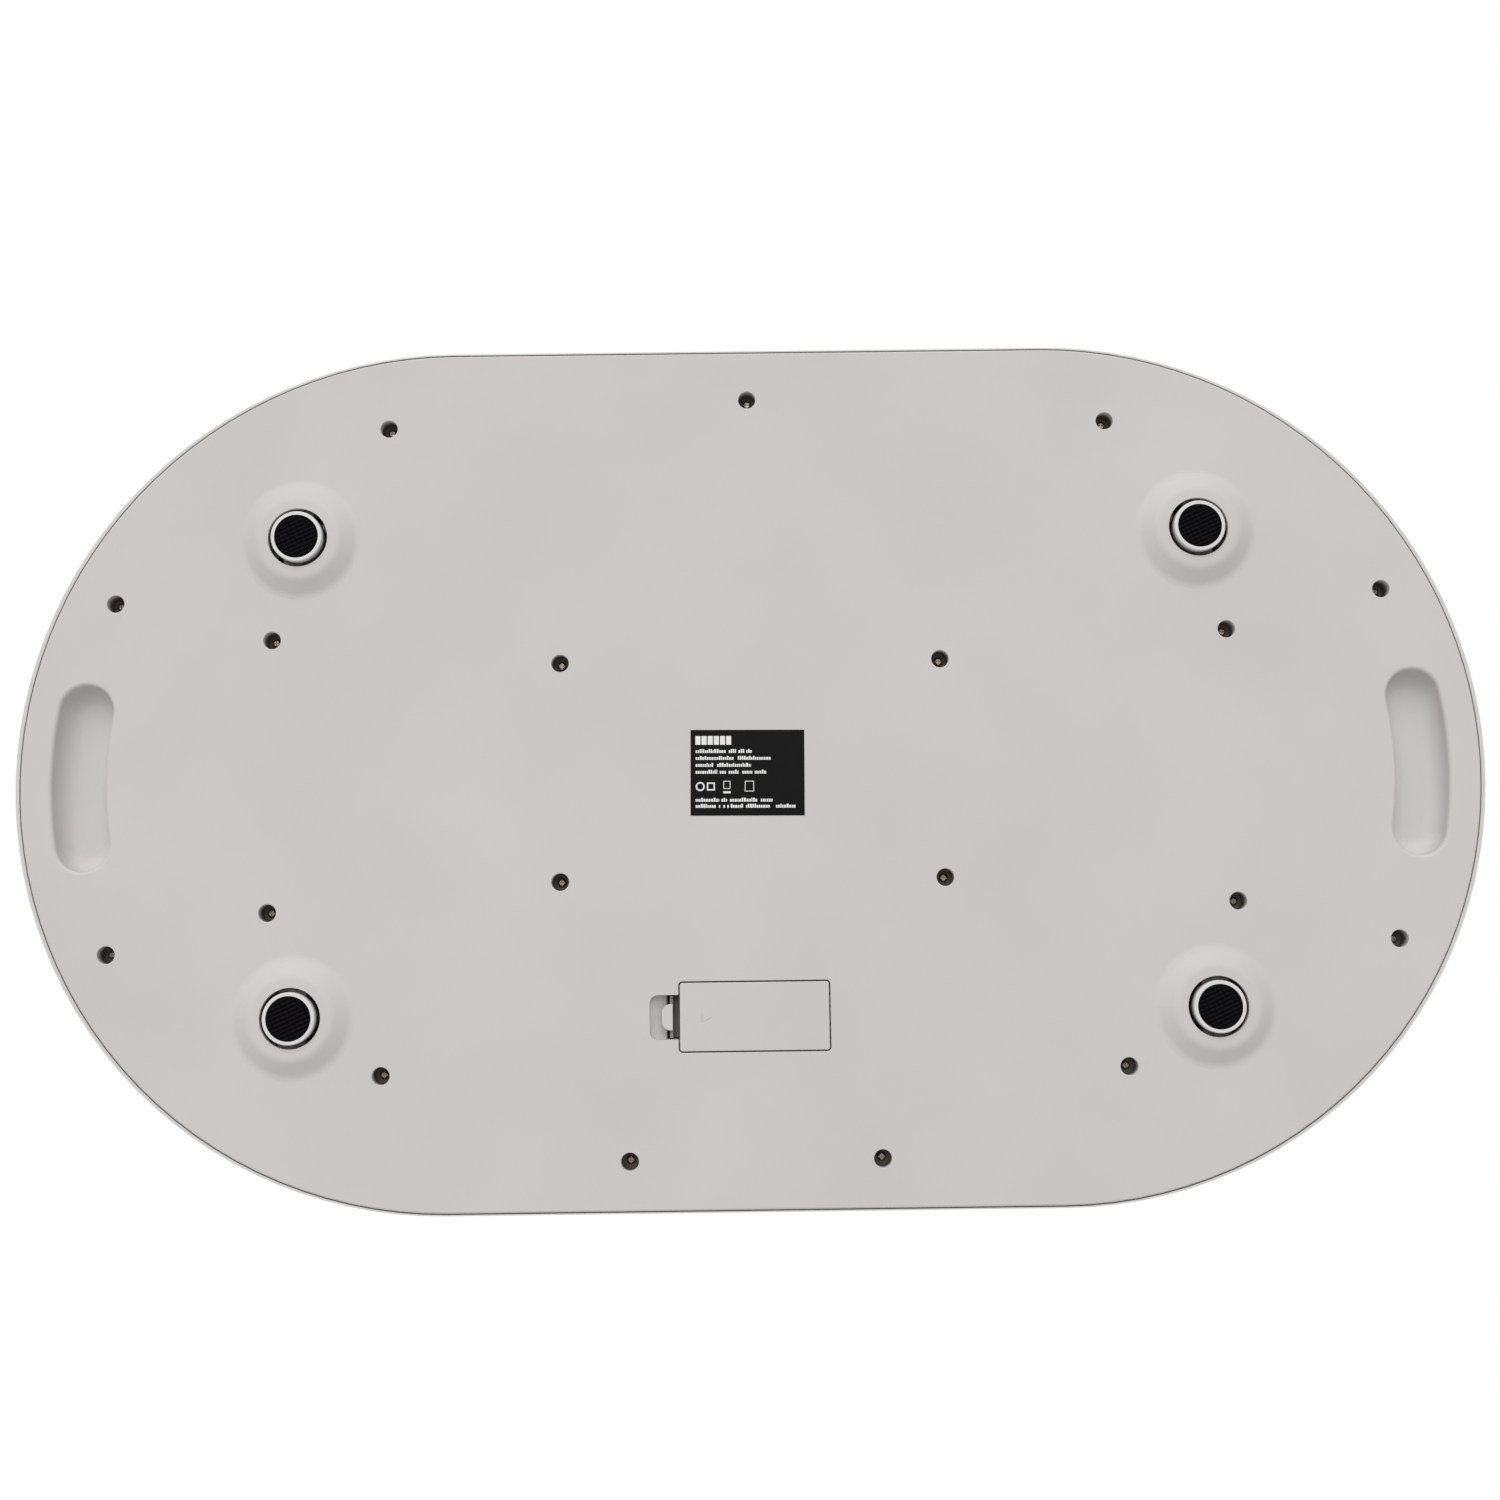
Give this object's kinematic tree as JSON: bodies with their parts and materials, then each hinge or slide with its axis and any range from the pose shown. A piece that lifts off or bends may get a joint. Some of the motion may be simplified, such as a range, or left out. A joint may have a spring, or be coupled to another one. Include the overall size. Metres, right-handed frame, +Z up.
{
  "type": "digital baby scale",
  "caption": "Long stadium-shaped digital baby scale: dished tray on a flat cover with load-cell feet, finger grips, battery door and a front display with keys.",
  "frame": {"origin": "middle of the footprint, on the floor that the four foot pads stand on", "axes": "+Z up, X along the length, the display and battery door at the front towards -Y"},
  "size_m": [0.5522, 0.3258, 0.056],
  "materials": {
    "cover_white": "fine matte moulded texture",
    "tray_white": "fine satin moulded plastic",
    "foot_white": "smooth satin",
    "pad_rubber": "fine woven-texture rubber",
    "cell_steel": "nickel-plated",
    "screw_nickel": "dark nickel plate",
    "label_black": "printed film, satin",
    "epoxy_white": "glossy epoxy",
    "cell_jacket": "printed sleeve, satin",
    "contact_nickel": "nickel-plated spring steel",
    "board_green": "solder mask",
    "chip_black": "epoxy blob",
    "lcd_glass": "reflective liquid crystal",
    "window_clear": "clear polished",
    "key_grey": "soft-touch matte",
    "switch_black": "moulded",
    "lead_sleeve": "thin PVC sleeve"
  },
  "bodies": {
    "root": {"battery_cell_front": "cell_jacket", "battery_cell_rear": "cell_jacket", "battery_lead_negative": "lead_sleeve", "battery_lead_positive": "lead_sleeve", "board_screws": "screw_nickel", "bottom_cover": "cover_white", "cell_lead_front_left": "lead_sleeve", "cell_lead_front_right": "lead_sleeve", "cell_lead_rear_left": "lead_sleeve", "cell_lead_rear_right": "lead_sleeve", "chip_blob": "chip_black", "contact_link": "contact_nickel", "contact_negative": "contact_nickel", "contact_positive": "contact_nickel", "contact_strips": "pad_rubber", "foot_cup_front_left": "foot_white", "foot_cup_front_right": "foot_white", "foot_cup_rear_left": "foot_white", "foot_cup_rear_right": "foot_white", "foot_pad_front_left": "pad_rubber", "foot_pad_front_right": "pad_rubber", "foot_pad_rear_left": "pad_rubber", "foot_pad_rear_right": "pad_rubber", "inner_screws": "screw_nickel", "key_switches": "switch_black", "lcd_frame": "foot_white", "lcd_glass": "lcd_glass", "lcd_window": "window_clear", "load_cell_front_left": "cell_steel", "load_cell_front_right": "cell_steel", "load_cell_rear_left": "cell_steel", "load_cell_rear_right": "cell_steel", "load_cell_seat_front_left": "foot_white", "load_cell_seat_front_right": "foot_white", "load_cell_seat_rear_left": "foot_white", "load_cell_seat_rear_right": "foot_white", "main_board": "board_green", "rating_label": "label_black", "rim_screws": "screw_nickel", "strain_gauges": "epoxy_white", "tray": "tray_white"},
    "battery_door": {"battery_door": "cover_white"},
    "door_latch": {"door_latch": "cover_white"},
    "unit_key": {"key_unit": "key_grey", "plunger_unit": "switch_black"},
    "power_key": {"key_power": "key_grey", "plunger_power": "switch_black"},
    "hold_key": {"key_hold": "key_grey", "plunger_hold": "switch_black"}
  },
  "joints": [
    {"name": "door_hinge", "type": "hinge", "parent": "root", "child": "battery_door", "pos_m": [-0.02735, -0.0913, 0.0066], "axis": [0, 1, 0], "range_deg": [0, 75]},
    {"name": "latch_flex", "type": "hinge", "parent": "battery_door", "child": "door_latch", "pos_m": [0.0288, -0.0913, 0.0132], "axis": [0, 1, 0], "range_deg": [0, 8], "stiffness_Nm_per_rad": 0.05},
    {"name": "unit_press", "type": "slide", "parent": "root", "child": "unit_key", "axis": [0, 0, -1], "range_m": [0, 0.0005], "stiffness_N_per_m": 3000},
    {"name": "power_press", "type": "slide", "parent": "root", "child": "power_key", "axis": [0, 0, -1], "range_m": [0, 0.0005], "stiffness_N_per_m": 3000},
    {"name": "hold_press", "type": "slide", "parent": "root", "child": "hold_key", "axis": [0, 0, -1], "range_m": [0, 0.0005], "stiffness_N_per_m": 3000}
  ]
}
